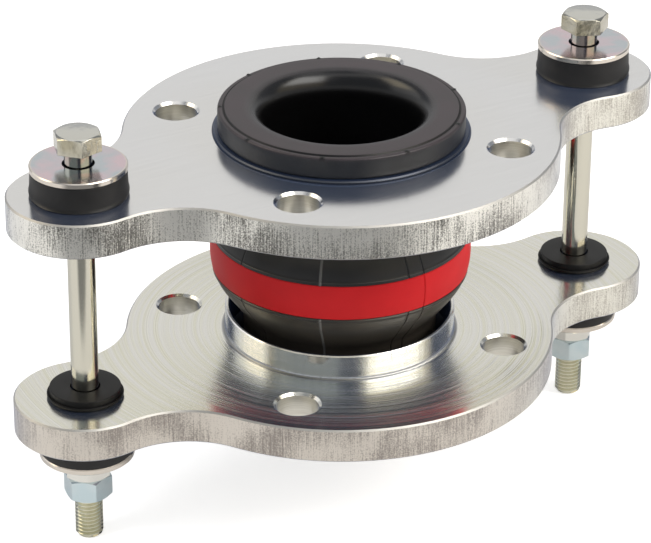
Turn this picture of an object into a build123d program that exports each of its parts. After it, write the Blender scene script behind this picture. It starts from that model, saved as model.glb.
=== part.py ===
from build123d import *
from math import cos, hypot, radians, sqrt
import os

os.makedirs("parts", exist_ok=True)

# Rubber expansion joint, nominal bore 65 mm, with two tie bolts.
# The pipe axis is +Z and the ears lie along X.
# Height zero is halfway through the lower flange, at the centre of its bolt circle.
# All sizes are in millimetres.

# Whole joint
face_to_face = 130.0         # between the two sealing faces
bore_radius = 32.5           # flow passage

# Moulded rubber bellows
neck_wall = 9.1
lip_width = 10.6             # lip stands out from the neck
lip_thickness = 9.8
lip_edge_break = 0.9
throat_flare = 6.1           # the bore widens by this much towards the sealing face
throat_depth = 8.0
rim_width = 3.0              # outer rim of the lip, set off from the flat sealing face by a groove
rim_step = 0.5               # the rim lies this much below the sealing face
face_groove_width = 0.9
face_groove_depth = 0.9
neck_root_radius = 3.5       # fillet between lip and neck
arch_rise = 14.3             # crest above the neck
arch_shoulder_drop = 4.7     # shoulder below the crest
arch_shoulder_rise = 15.8    # shoulder to middle plane
arch_root_rise = 28.6        # foot of the flank to middle plane
arch_wall = 8.5
arch_foot_blend = 7.0        # rounding where the arch leaves the neck, outside and in the bore

# Coloured band round the crest
band_width = 15.6
band_thickness = 1.0
band_crown = 0.9             # the middle of the band stands this much above its edges
band_gap = 0.05

# Steel flanges
plate_thickness = 15.0
plate_edge_break = 0.7       # chamfer along the cut outline
neck_gap = 0.5               # steel bore around the rubber neck
seat_ring_margin = 1.8       # low turned ring that the lip lies on, beyond the lip
seat_ring_height = 1.2
seat_ring_edge = 0.5
bolt_hole_radius = 9.0
bolt_hole_chamfer = 1.1
bolt_hole_margin = 9.5       # seat ring to hole
bolt_hole_count = 4
bolt_hole_start = 45.0       # degrees from the ears, so that the holes straddle them
plate_margin = 11.0          # hole to the plate's edge
tie_bolt_reach = 31.0        # plate's edge to the tie bolt's axis
ear_margin = 10.0            # rubber buffer to the ear's edge
ear_hollow_radius = 36.0     # concave arc between disc and ear
collar_height = 11.0         # stabilising collar on the inner face
collar_gap = 6.2             # neck to collar
collar_wall = 1.8
collar_rim_break = 0.5
collar_foot_radius = 1.2     # fillet where the collar meets the plate
collar_pocket_floor = 5.0    # depth of plate left under the collar's pocket

# Washers, rubber buffers, grommets and nuts
washer_radius = 20.0
washer_thickness = 2.5
washer_bore_gap = 0.95       # washer round the shank
washer_edge_break = 0.4
buffer_bulge = 0.5           # the rubber swells at the flange
upper_buffer_height = 11.0   # relaxed
lower_buffer_height = 10.0   # clamped by the nuts
grommet_wall = 3.95          # sleeve in the flange's hole
grommet_disc_width = 4.3     # disc beyond the sleeve
grommet_lip_width = 1.3      # lip beyond the disc
grommet_lip_height = 1.8
grommet_disc_height = 2.7
grommet_groove = 0.5
grommet_sleeve_short = 0.5   # sleeve ends inside the flange
rubber_bore_gap = 0.8        # rubber parts round the shank
sleeve_gap = 0.1             # sleeve in the flange's hole
nut_height = 10.0
nut_thread_gap = 0.05

# Tie bolts, M12
shank_radius = 5.75
thread_rise = 0.2            # rolled thread above the shank
thread_cover = 5.5           # thread above the clamp nut
thread_stickout = 19.5       # thread below the lock nut
thread_tip_chamfer = 1.0
hex_across_flats = 18.0
hex_corner_cut = 1.0         # height lost at the corners of heads and nuts
hex_face_inset = 0.4         # round face inside the flats, left by that cut
head_height = 7.5
head_play = 6.5              # bare shank between the upper washer and the head
head_face_inset = 0.7        # washer face under the head, inside the flats
head_face_height = 0.5

# Hexagon corner directions, in degrees from +X
head_turn = {"left": 12.2, "right": 35.0}
nut_turn = {"left": 6.2, "right": 43.5}
lock_nut_turn = {"left": 21.8, "right": 53.9}

# Radii worked out from the bore outwards
neck_radius = bore_radius + neck_wall
lip_radius = neck_radius + lip_width
face_inner_radius = bore_radius + throat_flare
face_outer_radius = lip_radius - rim_width
arch_crest_radius = neck_radius + arch_rise
arch_edge_radius = arch_crest_radius - band_crown
arch_shoulder_radius = arch_crest_radius - arch_shoulder_drop
steel_bore_radius = neck_radius + neck_gap
collar_inner_radius = neck_radius + collar_gap
collar_radius = collar_inner_radius + collar_wall
seat_ring_radius = lip_radius + seat_ring_margin
bolt_circle_radius = seat_ring_radius + bolt_hole_margin + bolt_hole_radius
plate_radius = bolt_circle_radius + bolt_hole_radius + plate_margin
tie_bolt_offset = plate_radius + tie_bolt_reach
sides = {"left": -tie_bolt_offset, "right": tie_bolt_offset}

# Radii worked out from each tie bolt's shank outwards
thread_radius = shank_radius + thread_rise
washer_bore_radius = shank_radius + washer_bore_gap
rubber_bore_radius = shank_radius + rubber_bore_gap
grommet_sleeve_radius = rubber_bore_radius + grommet_wall
grommet_disc_radius = grommet_sleeve_radius + grommet_disc_width
grommet_lip_radius = grommet_disc_radius + grommet_lip_width
rod_hole_radius = grommet_sleeve_radius + sleeve_gap
buffer_radius = washer_radius
ear_radius = buffer_radius + ear_margin
hex_flat_radius = hex_across_flats / 2
hex_corner_radius = hex_flat_radius / cos(radians(30))
hex_face_radius = hex_flat_radius - hex_face_inset
head_face_radius = hex_flat_radius - head_face_inset

# Heights worked out from the middle of the lower flange
lip_proud = seat_ring_height + lip_thickness
lower_outer = -plate_thickness / 2
lower_inner = lower_outer + plate_thickness
lower_seal = lower_outer - lip_proud
upper_seal = lower_seal + face_to_face
upper_outer = upper_seal - lip_proud
upper_inner = upper_outer - plate_thickness
head_underside = upper_outer + upper_buffer_height + washer_thickness + head_play
clamp_face = lower_outer - lower_buffer_height
nut_face = clamp_face - washer_thickness
lock_nut_face = nut_face - nut_height
thread_top = nut_face + thread_cover
thread_tip = lock_nut_face - nut_height - thread_stickout


def facing_up(height):
    """A plane at a height, looking along +Z."""
    return Plane.XY.offset(height)


def facing_down(height):
    """The same seen from the other end of the joint, looking along -Z."""
    return Plane(origin=(0, 0, height), x_dir=(1, 0, 0), z_dir=(0, 0, -1))


def section_plane(base):
    """The half-section plane of a base plane: x is the radius, y runs along its axis."""
    return Plane(origin=base.origin, x_dir=base.x_dir, z_dir=-base.y_dir)


def beside(base, offset):
    """A base plane moved along X, to the axis of one tie bolt."""
    return Plane(origin=base.origin + Vector(offset, 0, 0), x_dir=base.x_dir, z_dir=base.z_dir)


# Flange outline: disc and ears joined by tangent hollow arcs
hollow_reach = plate_radius + ear_hollow_radius
ear_reach = ear_radius + ear_hollow_radius
hollow_x = (hollow_reach**2 - ear_reach**2 + tie_bolt_offset**2) / (2 * tie_bolt_offset)
hollow_y = sqrt(hollow_reach**2 - hollow_x**2)


def toward(start, end, distance):
    """The point at a distance from start on the way to end."""
    length = hypot(end[0] - start[0], end[1] - start[1])
    return tuple(a + (b - a) * distance / length for a, b in zip(start, end))


def flange_outline():
    """The eight tangent arcs of the outline, in the sketch's own plane."""
    hollow = (hollow_x, hollow_y)
    on_disc = toward((0, 0), hollow, plate_radius)
    on_ear = toward((tie_bolt_offset, 0), hollow, ear_radius)
    between = ((on_disc[0] + on_ear[0]) / 2, (on_disc[1] + on_ear[1]) / 2)
    in_hollow = toward(hollow, between, ear_hollow_radius)
    for across in (1, -1):
        ear_top = (across * on_ear[0], on_ear[1])
        ear_low = (across * on_ear[0], -on_ear[1])
        ThreePointArc(ear_top, (across * (tie_bolt_offset + ear_radius), 0), ear_low)
        for up in (1, -1):
            ThreePointArc(
                (across * on_disc[0], up * on_disc[1]),
                (across * in_hollow[0], up * in_hollow[1]),
                (across * on_ear[0], up * on_ear[1]),
            )
    for up in (1, -1):
        ThreePointArc((-on_disc[0], up * on_disc[1]), (0, up * plate_radius), (on_disc[0], up * on_disc[1]))


def collar_profile():
    """Half section of the collar and its foot fillet, from inside the plate to the rim."""
    top = plate_thickness + collar_height
    foot = plate_thickness + collar_foot_radius
    foot_edge = collar_radius + collar_foot_radius
    Polyline(
        (foot_edge, plate_thickness),
        (foot_edge, plate_thickness - collar_foot_radius),
        (collar_inner_radius, plate_thickness - collar_foot_radius),
        (collar_inner_radius, top - collar_rim_break),
        (collar_inner_radius + collar_rim_break, top),
        (collar_radius - collar_rim_break, top),
        (collar_radius, top - collar_rim_break),
        (collar_radius, foot),
    )
    RadiusArc((collar_radius, foot), (foot_edge, plate_thickness), -collar_foot_radius)


def seat_ring_profile():
    """Half section of the low ring on the outer face."""
    Polyline(
        (steel_bore_radius, collar_pocket_floor / 2),
        (seat_ring_radius, collar_pocket_floor / 2),
        (seat_ring_radius, seat_ring_edge - seat_ring_height),
        (seat_ring_radius - seat_ring_edge, -seat_ring_height),
        (steel_bore_radius, -seat_ring_height),
        close=True,
    )


def pocket_profile():
    """Half section of all the steel taken away round the rubber neck."""
    root = neck_root_radius + neck_gap
    slope_top = collar_pocket_floor + collar_inner_radius - steel_bore_radius
    Polyline(
        (0, -2 * seat_ring_height),
        (steel_bore_radius + root, -2 * seat_ring_height),
        (steel_bore_radius + root, -seat_ring_height),
        (steel_bore_radius, root - seat_ring_height),
        (steel_bore_radius, collar_pocket_floor),
        (collar_inner_radius, slope_top),
        (collar_inner_radius, plate_thickness + 2 * collar_height),
        (0, plate_thickness + 2 * collar_height),
        close=True,
    )


def make_flange(base, label):
    """One flange: base is the plane of its outer face, looking towards the other flange."""
    half = section_plane(base)
    turn = Axis(base.origin, base.z_dir)
    with BuildPart() as flange:
        with BuildSketch(base):
            with BuildLine():
                flange_outline()
            make_face()
        extrude(amount=plate_thickness)
        chamfer(flange.faces().filter_by(Axis.Z).edges(), length=plate_edge_break)
        for profile, mode in (
            (collar_profile, Mode.ADD),
            (seat_ring_profile, Mode.ADD),
            (pocket_profile, Mode.SUBTRACT),
        ):
            with BuildSketch(half):
                with BuildLine():
                    profile()
                make_face()
            revolve(axis=turn, mode=mode)
        with BuildSketch(base):
            with PolarLocations(bolt_circle_radius, bolt_hole_count, bolt_hole_start):
                Circle(bolt_hole_radius)
            with Locations((tie_bolt_offset, 0), (-tie_bolt_offset, 0)):
                Circle(rod_hole_radius)
        extrude(amount=plate_thickness, mode=Mode.SUBTRACT)
        circles = flange.edges().filter_by(GeomType.CIRCLE)
        rims = circles.filter_by(lambda edge: abs(edge.radius - bolt_hole_radius) < 0.01)
        chamfer(rims, length=bolt_hole_chamfer)
    flange.part.label = label
    export_step(flange.part, f"parts/{label}.step")


make_flange(facing_up(lower_outer), "lower_flange")
make_flange(facing_down(upper_outer), "upper_flange")


# Bellows: half sections use the radius and the height above the lower sealing face
half_length = face_to_face / 2
lip_underside = lip_thickness
arch_root = half_length - arch_root_rise
shoulder = (arch_shoulder_radius, half_length - arch_shoulder_rise)
band_edge = half_length - band_width / 2
flank_run = shoulder[0] - neck_radius
flank_rise = shoulder[1] - arch_root
flank_length = hypot(flank_run, flank_rise)
flank = (flank_run / flank_length, flank_rise / flank_length)
wall_shift = (-flank[1] * arch_wall, flank[0] * arch_wall)
inner_shoulder = (shoulder[0] + wall_shift[0], shoulder[1] + wall_shift[1])
inner_crest_radius = arch_crest_radius - arch_wall
inner_root = inner_shoulder[1] - (inner_shoulder[0] - bore_radius) * flank_rise / flank_run


def bellows_profile():
    """Lower half of the bellows, from the sealing face to the middle plane."""
    groove_outer = face_outer_radius + face_groove_width
    Polyline(
        (face_inner_radius, 0),
        (face_outer_radius, 0),
        (face_outer_radius + face_groove_width / 2, face_groove_depth),
        (groove_outer, rim_step),
        (lip_radius - lip_edge_break, rim_step),
        (lip_radius, rim_step + lip_edge_break),
        (lip_radius, lip_underside - lip_edge_break),
        (lip_radius - lip_edge_break, lip_underside),
        (neck_radius + neck_root_radius, lip_underside),
    )
    RadiusArc(
        (neck_radius + neck_root_radius, lip_underside),
        (neck_radius, lip_underside + neck_root_radius),
        neck_root_radius,
    )
    Line((neck_radius, lip_underside + neck_root_radius), (neck_radius, arch_root))
    Line((neck_radius, arch_root), shoulder)
    TangentArc(shoulder, (arch_edge_radius, band_edge), tangent=flank)
    Line((arch_edge_radius, band_edge), (crest_radius_at(band_edge, band_thickness), band_edge))
    crest_line(band_edge, half_length, band_thickness)
    Line((arch_crest_radius - band_thickness, half_length), (inner_crest_radius, half_length))
    TangentArc((inner_crest_radius, half_length), inner_shoulder, tangent=(0, -1))
    Line(inner_shoulder, (bore_radius, inner_root))
    Line((bore_radius, inner_root), (bore_radius, throat_depth))
    EllipticalCenterArc(
        (face_inner_radius, throat_depth),
        face_inner_radius - bore_radius,
        throat_depth,
        start_angle=180,
        arc_size=90,
    )


# The crest of the arch is one circle through the band's edges and the middle
crest_curve = ((band_width / 2) ** 2 + band_crown**2) / (2 * band_crown)
crest_centre = arch_crest_radius - crest_curve


def crest_radius_at(height, depth):
    """Radius of the arch's crest circle at a height, at a depth below the surface."""
    return crest_centre + sqrt((crest_curve - depth) ** 2 - (height - half_length) ** 2)


def crest_line(low, high, depth):
    """The crest circle between two heights, at a depth below the surface."""
    between = (low + high) / 2
    ThreePointArc(
        (crest_radius_at(low, depth), low),
        (crest_radius_at(between, depth), between),
        (crest_radius_at(high, depth), high),
    )


rubber_base = facing_up(lower_seal)


def band_profile():
    """Section of the coloured band in its recess."""
    low = band_edge + band_gap
    high = face_to_face - low
    depth = band_thickness - band_gap
    crest_line(low, high, 0)
    crest_line(low, high, depth)
    for height in (low, high):
        Line((crest_radius_at(height, 0), height), (crest_radius_at(height, depth), height))


with BuildPart() as bellows:
    with BuildSketch(section_plane(rubber_base)) as wall:
        with BuildLine():
            bellows_profile()
        make_face()
        for foot in ((neck_radius, arch_root), (bore_radius, inner_root)):
            fillet(wall.vertices().sort_by_distance(foot)[0], arch_foot_blend)
        mirror(about=Plane.XZ.offset(-half_length))
    revolve(axis=Axis.Z)
bellows.part.label = "rubber_bellows"
export_step(bellows.part, "parts/rubber_bellows.step")

with BuildPart() as band:
    with BuildSketch(section_plane(rubber_base)):
        with BuildLine():
            band_profile()
        make_face()
    revolve(axis=Axis.Z)
band.part.label = "red_band"
export_step(band.part, "parts/red_band.step")


def hexagon_blank(base, height, turn, both_ends):
    """A hexagon prism with its corners cut by a cone, at the far end or at both."""
    corner = hex_corner_radius
    near_end = [(hex_face_radius, 0), (corner, hex_corner_cut)] if both_ends else [(corner, 0)]
    far_end = [(corner, height - hex_corner_cut), (hex_face_radius, height)]
    with BuildPart() as blank:
        with BuildSketch(base):
            RegularPolygon(radius=corner, side_count=6, rotation=turn)
        extrude(amount=height)
        with BuildSketch(section_plane(base)):
            Polygon((0, 0), *near_end, *far_end, (0, height), align=None)
        revolve(axis=Axis(base.origin, base.z_dir), mode=Mode.INTERSECT)
    return blank.part


def make_tie_bolt(side):
    """Hexagon bolt hanging from its head: head, washer face, shank, thread and chamfered tip."""
    offset = sides[side]
    head = hexagon_blank(beside(facing_up(head_underside), offset), head_height, head_turn[side], False)
    with BuildPart() as bolt:
        add(head)
        with BuildSketch(section_plane(beside(facing_up(0), offset))):
            Polygon(
                (0, thread_tip),
                (thread_radius - thread_tip_chamfer, thread_tip),
                (thread_radius, thread_tip + thread_tip_chamfer),
                (thread_radius, thread_top),
                (shank_radius, thread_top + thread_rise),
                (shank_radius, head_underside - head_face_height),
                (head_face_radius, head_underside - head_face_height),
                (head_face_radius, head_underside + head_face_height),
                (0, head_underside + head_face_height),
                align=None,
            )
        revolve(axis=Axis((offset, 0, 0), (0, 0, 1)))
    return bolt


def make_washer(side, base):
    """Plain washer with broken edges."""
    edge = washer_edge_break
    with BuildPart() as washer:
        with BuildSketch(section_plane(beside(base, sides[side]))):
            Polygon(
                (washer_bore_radius, 0),
                (washer_radius - edge, 0),
                (washer_radius, edge),
                (washer_radius, washer_thickness - edge),
                (washer_radius - edge, washer_thickness),
                (washer_bore_radius, washer_thickness),
                align=None,
            )
        revolve(axis=Axis((sides[side], 0, 0), (0, 0, 1)))
    return washer


def make_buffer(side, base, height):
    """Rubber disc, slightly swollen where it lies on the flange."""
    with BuildPart() as rubber:
        with BuildSketch(section_plane(beside(base, sides[side]))):
            with BuildLine():
                Polyline(
                    (buffer_radius, 0),
                    (rubber_bore_radius, 0),
                    (rubber_bore_radius, height),
                    (buffer_radius - buffer_bulge, height),
                )
                ThreePointArc(
                    (buffer_radius - buffer_bulge, height),
                    (buffer_radius + buffer_bulge, height / 4),
                    (buffer_radius, 0),
                )
            make_face()
        revolve(axis=Axis((sides[side], 0, 0), (0, 0, 1)))
    return rubber


def make_grommet(side, base):
    """Rubber grommet: a lip on the flange, a disc above it and a sleeve in the flange's hole."""
    sleeve_end = grommet_sleeve_short - plate_thickness
    top = grommet_lip_height + grommet_disc_height
    waist = grommet_disc_radius - grommet_groove
    with BuildPart() as grommet:
        with BuildSketch(section_plane(beside(base, sides[side]))):
            Polygon(
                (rubber_bore_radius, sleeve_end),
                (grommet_sleeve_radius, sleeve_end),
                (grommet_sleeve_radius, 0),
                (grommet_lip_radius - grommet_groove, 0),
                (grommet_lip_radius, grommet_lip_height / 2),
                (grommet_lip_radius - grommet_groove, grommet_lip_height),
                (waist, grommet_lip_height),
                (grommet_disc_radius, grommet_lip_height + grommet_groove),
                (grommet_disc_radius, top - grommet_groove),
                (waist, top),
                (rubber_bore_radius, top),
                align=None,
            )
        revolve(axis=Axis((sides[side], 0, 0), (0, 0, 1)))
    return grommet


def make_nut(side, base, turn):
    """Hexagon nut, chamfered at both faces, with a plain bore on the thread."""
    placed = beside(base, sides[side])
    # The base looks down, so the corner direction counts the other way on it
    blank = hexagon_blank(placed, nut_height, -turn, True)
    with BuildPart() as nut:
        add(blank)
        with BuildSketch(placed):
            Circle(thread_radius + nut_thread_gap)
        extrude(amount=nut_height, mode=Mode.SUBTRACT)
    return nut


def save(builder, label):
    """Name a finished piece and write its file."""
    builder.part.label = label
    export_step(builder.part, f"parts/{label}.step")


for side in sides:
    save(make_tie_bolt(side), f"tie_bolt_{side}")
    save(make_buffer(side, facing_up(upper_outer), upper_buffer_height), f"upper_buffer_{side}")
    save(make_washer(side, facing_up(upper_outer + upper_buffer_height)), f"upper_washer_{side}")
    save(make_grommet(side, facing_down(upper_inner)), f"upper_grommet_{side}")
    save(make_grommet(side, facing_up(lower_inner)), f"lower_grommet_{side}")
    save(make_buffer(side, facing_down(lower_outer), lower_buffer_height), f"lower_buffer_{side}")
    save(make_washer(side, facing_down(clamp_face)), f"lower_washer_{side}")
    save(make_nut(side, facing_down(nut_face), nut_turn[side]), f"nut_{side}")
    save(make_nut(side, facing_down(lock_nut_face), lock_nut_turn[side]), f"lock_nut_{side}")
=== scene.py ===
# %% [markdown]
# # Dressing a rubber expansion joint
#
# A rubber expansion joint takes up movement between two pipes. A moulded rubber bellows with
# one arch stands between two loose steel flanges, and two tie bolts in rubber discs stop it
# from stretching too far. The rigid shapes come from the CAD frame. This lesson gives them
# their finishes, remakes the soft and threaded pieces in finer detail, and lights the whole.

# %% Load the frame
from math import atan2, ceil, cos, hypot, pi, radians, sin, sqrt, tan
import bpy
from mathutils import Matrix, Vector


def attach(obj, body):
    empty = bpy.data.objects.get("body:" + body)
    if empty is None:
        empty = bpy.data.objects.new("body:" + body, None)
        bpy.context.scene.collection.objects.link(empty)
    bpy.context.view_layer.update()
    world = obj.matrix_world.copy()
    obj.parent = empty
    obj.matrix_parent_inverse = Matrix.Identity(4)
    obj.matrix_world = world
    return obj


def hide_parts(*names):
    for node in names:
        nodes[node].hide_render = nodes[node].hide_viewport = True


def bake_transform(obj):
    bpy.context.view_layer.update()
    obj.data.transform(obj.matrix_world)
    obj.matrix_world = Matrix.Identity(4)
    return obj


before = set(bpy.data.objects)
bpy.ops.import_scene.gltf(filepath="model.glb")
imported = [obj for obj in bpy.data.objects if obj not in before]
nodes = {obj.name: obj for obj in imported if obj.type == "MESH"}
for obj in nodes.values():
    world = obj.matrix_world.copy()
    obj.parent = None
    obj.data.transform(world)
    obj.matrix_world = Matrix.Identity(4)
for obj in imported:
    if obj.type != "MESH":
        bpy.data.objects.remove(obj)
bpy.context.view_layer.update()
MM = 0.001

# %% [markdown]
# ## Sizes that the finer pieces share with the solids
#
# Heights are in millimetres from halfway through the lower flange. The joint is the same
# above and below its middle plane, so half a section and a mirror describe the rubber.

# %% Shared sizes in mm
seal_height = -18.5          # lower sealing face
face_to_face = 130.0
half_length = face_to_face / 2
lower_inner = 7.5            # inner faces of the two flanges
upper_inner = 85.5
lower_outer = -7.5
upper_outer = 100.5
tie_bolt_offset = 123.5
bolt_circle_radius = 72.5
print("middle plane at", seal_height + half_length, "mm")

# %% [markdown]
# ## Camera
#
# The camera looks a little down on the joint from the left front. A long lens far away keeps
# the flanges' edges nearly parallel, as a product photograph does.

# %% Camera
target = Vector((-0.02986, -0.03736, 0.05750))
azimuth, elevation, roll = radians(-31.128), radians(27.234), radians(0.451)
distance = 1.3185
back = Vector((sin(azimuth) * cos(elevation), -cos(azimuth) * cos(elevation), sin(elevation)))
level_right = (-back).cross(Vector((0, 0, 1))).normalized()
level_up = back.cross(level_right)
right = level_right * cos(roll) + level_up * sin(roll)
up = level_up * cos(roll) - level_right * sin(roll)
lens = bpy.data.cameras.new("camera")
lens.lens = 176.32
lens.sensor_width = 36
lens.sensor_fit = "HORIZONTAL"
lens.clip_end = 20
camera = bpy.data.objects.new("camera", lens)
turned_to_target = Matrix((right, up, back)).transposed().to_4x4()
camera.matrix_world = Matrix.Translation(target + back * distance) @ turned_to_target
bpy.context.scene.collection.objects.link(camera)
bpy.context.scene.camera = camera
print("camera at", [round(value, 3) for value in camera.location])

# %% [markdown]
# ## Colours and nodes
#
# Colours are written as they are read off a screen, in sRGB hex, and turned to linear light
# in one place. One helper adds a node, sets it and joins it up, so a material reads from
# top to bottom.

# %% Colour and node helpers
def linear(hex_colour):
    """A colour for a socket, from an sRGB hex string."""
    parts = [int(hex_colour[at:at + 2], 16) / 255 for at in (1, 3, 5)]
    return [c / 12.92 if c <= 0.04045 else ((c + 0.055) / 1.055) ** 2.4 for c in parts] + [1.0]


def first_open(sockets):
    return next(socket for socket in sockets if socket.enabled)


def add(tree, kind, inputs=None, **settings):
    """Add a node of a kind, such as Mix for ShaderNodeMix.

    Inputs are found by name or by number, and take values, nodes or sockets.
    """
    node = tree.nodes.new("ShaderNode" + kind)
    for name, value in settings.items():
        setattr(node, name, value)
    for key, value in (inputs or {}).items():
        sockets = [socket for socket in node.inputs if socket.enabled]
        socket = sockets[key] if isinstance(key, int) else next(s for s in sockets if s.name == key)
        if isinstance(value, bpy.types.Node):
            value = first_open(value.outputs)
        if isinstance(value, bpy.types.NodeSocket):
            tree.links.new(value, socket)
        else:
            socket.default_value = value
    return node


def start_finish(name, **constants):
    """A new material and its shader, with the values that are the same all over."""
    material = bpy.data.materials.new(name)
    material.use_nodes = True
    shader = material.node_tree.nodes["Principled BSDF"]
    for socket, value in constants.items():
        shader.inputs[socket.replace("_", " ")].default_value = value
    return material, material.node_tree, shader


def join(tree, node, shader, socket):
    tree.links.new(first_open(node.outputs), shader.inputs[socket])


print("white is", linear("#FFFFFF"))

# %% [markdown]
# ## Floor, backdrop and light
#
# The joint stands on the tips of its tie bolts on a plain white floor. Seen directly, the
# floor is lifted to the white of a studio sweep and keeps only the soft shadow. The world is a
# pale grey tent that is brighter overhead. Polished metal shows mostly what it
# mirrors, so the tent is what gives the plated faces their even light grey.

# %% Floor
floor_height = -59.5 * MM
floor_mesh = bpy.data.meshes.new("studio_floor")
reach = 4.0
corners = [(-reach, -reach), (reach, -reach), (reach, reach), (-reach, reach)]
floor_mesh.from_pydata([(x, y, floor_height) for x, y in corners], [], [(0, 1, 2, 3)])
floor = bpy.data.objects.new("studio_floor", floor_mesh)
bpy.context.scene.collection.objects.link(floor)

floor_paint = bpy.data.materials.new("floor matt white paper")
floor_paint.use_nodes = True
tree = floor_paint.node_tree
tree.nodes.clear()
paper = add(tree, "BsdfDiffuse", {"Color": linear("#EDEDED")})
seen_lift, mirrored_lift = 0.62, 0.05    # how far the paper is raised towards white
lift = add(tree, "Emission", {"Color": linear("#FFFFFF"), "Strength": seen_lift})
seen = add(tree, "AddShader", {0: paper, 1: lift})
slight_lift = add(tree, "Emission", {"Color": linear("#FFFFFF"), "Strength": mirrored_lift})
lifted_paper = add(tree, "AddShader", {0: paper, 1: slight_lift})
# Out of the camera's view the sweep ends, 0.25 m in front, and a black flag lies on the grey
# studio floor beyond it. Plated faces mirror both, which gives heads and sides their contrast.
floor_place = add(tree, "TexCoord").outputs["Object"]
floor_axes = add(tree, "SeparateXYZ", {0: floor_place})
in_front = add(tree, "VectorMath", {0: floor_place, 1: (-0.574, -0.819, 0)}, operation="DOT_PRODUCT")
past_paper = add(
    tree, "MapRange", {"Value": in_front.outputs["Value"], "From Min": 0.245, "From Max": 0.275},
)
floor_bearing = add(
    tree, "Math", {0: floor_axes.outputs["Y"], 1: floor_axes.outputs["X"]}, operation="ARCTAN2",
)
off_camera = add(tree, "Math", {0: floor_bearing, 1: radians(122)}, operation="ADD")
aside = add(tree, "Math", {0: off_camera}, operation="ABSOLUTE")
before_camera = add(tree, "MapRange", {"Value": aside, "From Min": radians(42), "From Max": radians(30)})
unpapered = add(tree, "Math", {0: past_paper, 1: before_camera}, operation="MULTIPLY")
from_flag = add(tree, "VectorMath", {0: floor_place, 1: (0.0, -0.34, -0.06)}, operation="DISTANCE")
flagged = add(tree, "MapRange", {"Value": from_flag.outputs["Value"], "From Min": 0.095, "From Max": 0.075})
far_colour = add(
    tree, "Mix", {"Factor": flagged, "A": linear("#8B8D8F"), "B": linear("#101318")}, data_type="RGBA",
)
far_floor = add(tree, "BsdfDiffuse", {"Color": far_colour})
seen_in_metal = add(tree, "MixShader", {0: unpapered, 1: lifted_paper, 2: far_floor})
path = add(tree, "LightPath")
unseen = add(tree, "MixShader", {0: path.outputs["Is Glossy Ray"], 1: paper, 2: seen_in_metal})
choice = add(tree, "MixShader", {0: path.outputs["Is Camera Ray"], 1: unseen, 2: seen})
add(tree, "OutputMaterial", {"Surface": choice})
floor_mesh.materials.append(floor_paint)
print("floor at", floor_height, "m")

# %% World
world = bpy.data.worlds.new("studio tent")
bpy.context.scene.world = world
world.use_nodes = True
tree = world.node_tree
tree.nodes.clear()
direction = add(tree, "TexCoord")
axes = add(tree, "SeparateXYZ", {0: direction.outputs["Generated"]})
rise = add(tree, "MapRange", {"Value": axes.outputs["Z"], "From Min": -0.1, "From Max": 0.9})
tent = add(tree, "Mix", {"Factor": rise, "A": linear("#D2D3D6"), "B": linear("#F0EFEC")}, data_type="RGBA")
tent_light = add(tree, "Background", {"Color": tent, "Strength": 0.72})
backdrop = add(tree, "Background", {"Color": linear("#FFFFFF"), "Strength": 1.0})

# %% [markdown]
# Round polished metal mirrors the whole room, squeezed into a few millimetres. A studio puts
# white cards left and right of the camera and leaves dark gaps between them, and the pale
# backdrop stands behind the object. Without those gaps a turned collar looks like grey
# plastic. Only mirrored rays see them, so matt surfaces keep an even light. Below the cards is
# a plain pale wall, and above them a white ceiling ring with a grey lamp grid in the middle,
# so that the flat plates stay an even grey from low sides and from above.

# %% Cards and gaps that metal mirrors
white_card, cream_card = "#FFFFFF", "#F3E8D0"
dark_gap, grey_wall, backdrop_grey = "#1E2534", "#858B8C", "#E9E8E5"
cards = [
    (-126, grey_wall), (-116, dark_gap), (-98, dark_gap), (-92, cream_card), (-22, cream_card),
    (-16, dark_gap), (20, dark_gap), (28, backdrop_grey), (80, backdrop_grey), (86, dark_gap),
    (104, dark_gap), (110, white_card), (160, white_card), (167, grey_wall),
]


def set_edges(ramp, edges):
    """Place the stops of a colour ramp at bearings in degrees."""
    stops = ramp.color_ramp.elements
    while len(stops) < len(edges):
        stops.new(0.5)
    for stop, (degrees_round, colour) in zip(stops, edges):
        stop.position = (degrees_round + 180) / 360
        stop.color = linear(colour)


bearing = add(tree, "Math", {0: axes.outputs["Y"], 1: axes.outputs["X"]}, operation="ARCTAN2")
round_share = add(tree, "MapRange", {"Value": bearing, "From Min": -pi, "From Max": pi})
room = add(tree, "ValToRGB", {"Fac": round_share})
set_edges(room, cards)
# The plain wall reaches up to 20 degrees. The ceiling ring starts at 60 degrees, and the grid
# lies within 12 degrees of straight up.
height_up = axes.outputs["Z"]
above_wall = add(tree, "MapRange", {"Value": height_up, "From Min": 0.28, "From Max": 0.34})
walled = add(tree, "Mix", {"Factor": above_wall, "A": linear("#C6C7C8"), "B": room}, data_type="RGBA")
# A face that mirrors the room directly sees the gaps only half dark, so that the plates stay
# pale from every side. The second mirroring, in collar and shank, keeps the gaps' full depth.
path = add(tree, "LightPath")
direct = add(tree, "MapRange", {"Value": path.outputs["Glossy Depth"], "From Min": 1.6, "From Max": 1.4})
faced_room = add(
    tree, "Mix", {"Factor": direct, "A": walled, "B": linear("#8E9298")}, data_type="RGBA",
    blend_type="LIGHTEN",
)
ceiling = add(tree, "MapRange", {"Value": height_up, "From Min": 0.85, "From Max": 0.90})
grid = add(tree, "MapRange", {"Value": height_up, "From Min": 0.975, "From Max": 0.985})
below_grid = add(
    tree, "Mix", {"Factor": ceiling, "A": faced_room, "B": linear("#FFFFFF")}, data_type="RGBA",
)
mirrored = add(tree, "Mix", {"Factor": grid, "A": below_grid, "B": linear("#A2A6AB")}, data_type="RGBA")
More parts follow.
